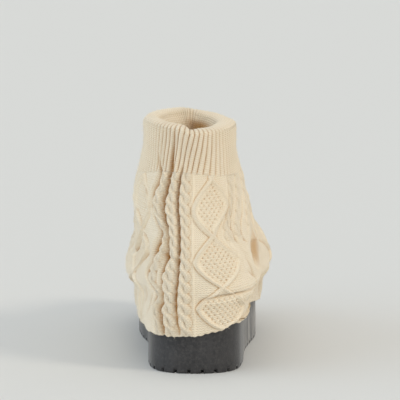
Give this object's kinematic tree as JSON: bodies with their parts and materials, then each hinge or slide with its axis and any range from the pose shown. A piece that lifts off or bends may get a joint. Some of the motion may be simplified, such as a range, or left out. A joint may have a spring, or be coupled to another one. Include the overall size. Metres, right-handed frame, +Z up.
{
  "type": "knit platform slipper",
  "caption": "Right slipper with a slouched cable-knit upper, ribbed turned-in collar and thick flat platform sole, worn by pushing a foot in at the collar.",
  "frame": {"origin": "centre of the bounding box in plan, on the floor under the flat sole", "axes": "+Y from heel to toe, +X to the outer (lateral) side of a right foot, +Z up"},
  "size_m": [0.1268, 0.285, 0.2069],
  "materials": {
    "sole_rubber": "matte black moulded foam rubber, dusty and lightly scuffed",
    "knit": "matte cream wool-like cable knit, soft and slightly fuzzy",
    "footbed": "matte brushed textile"
  },
  "bodies": {
    "root": {"platform_sole": "sole_rubber", "knit_upper": "knit", "insole": "footbed"}
  },
  "joints": []
}
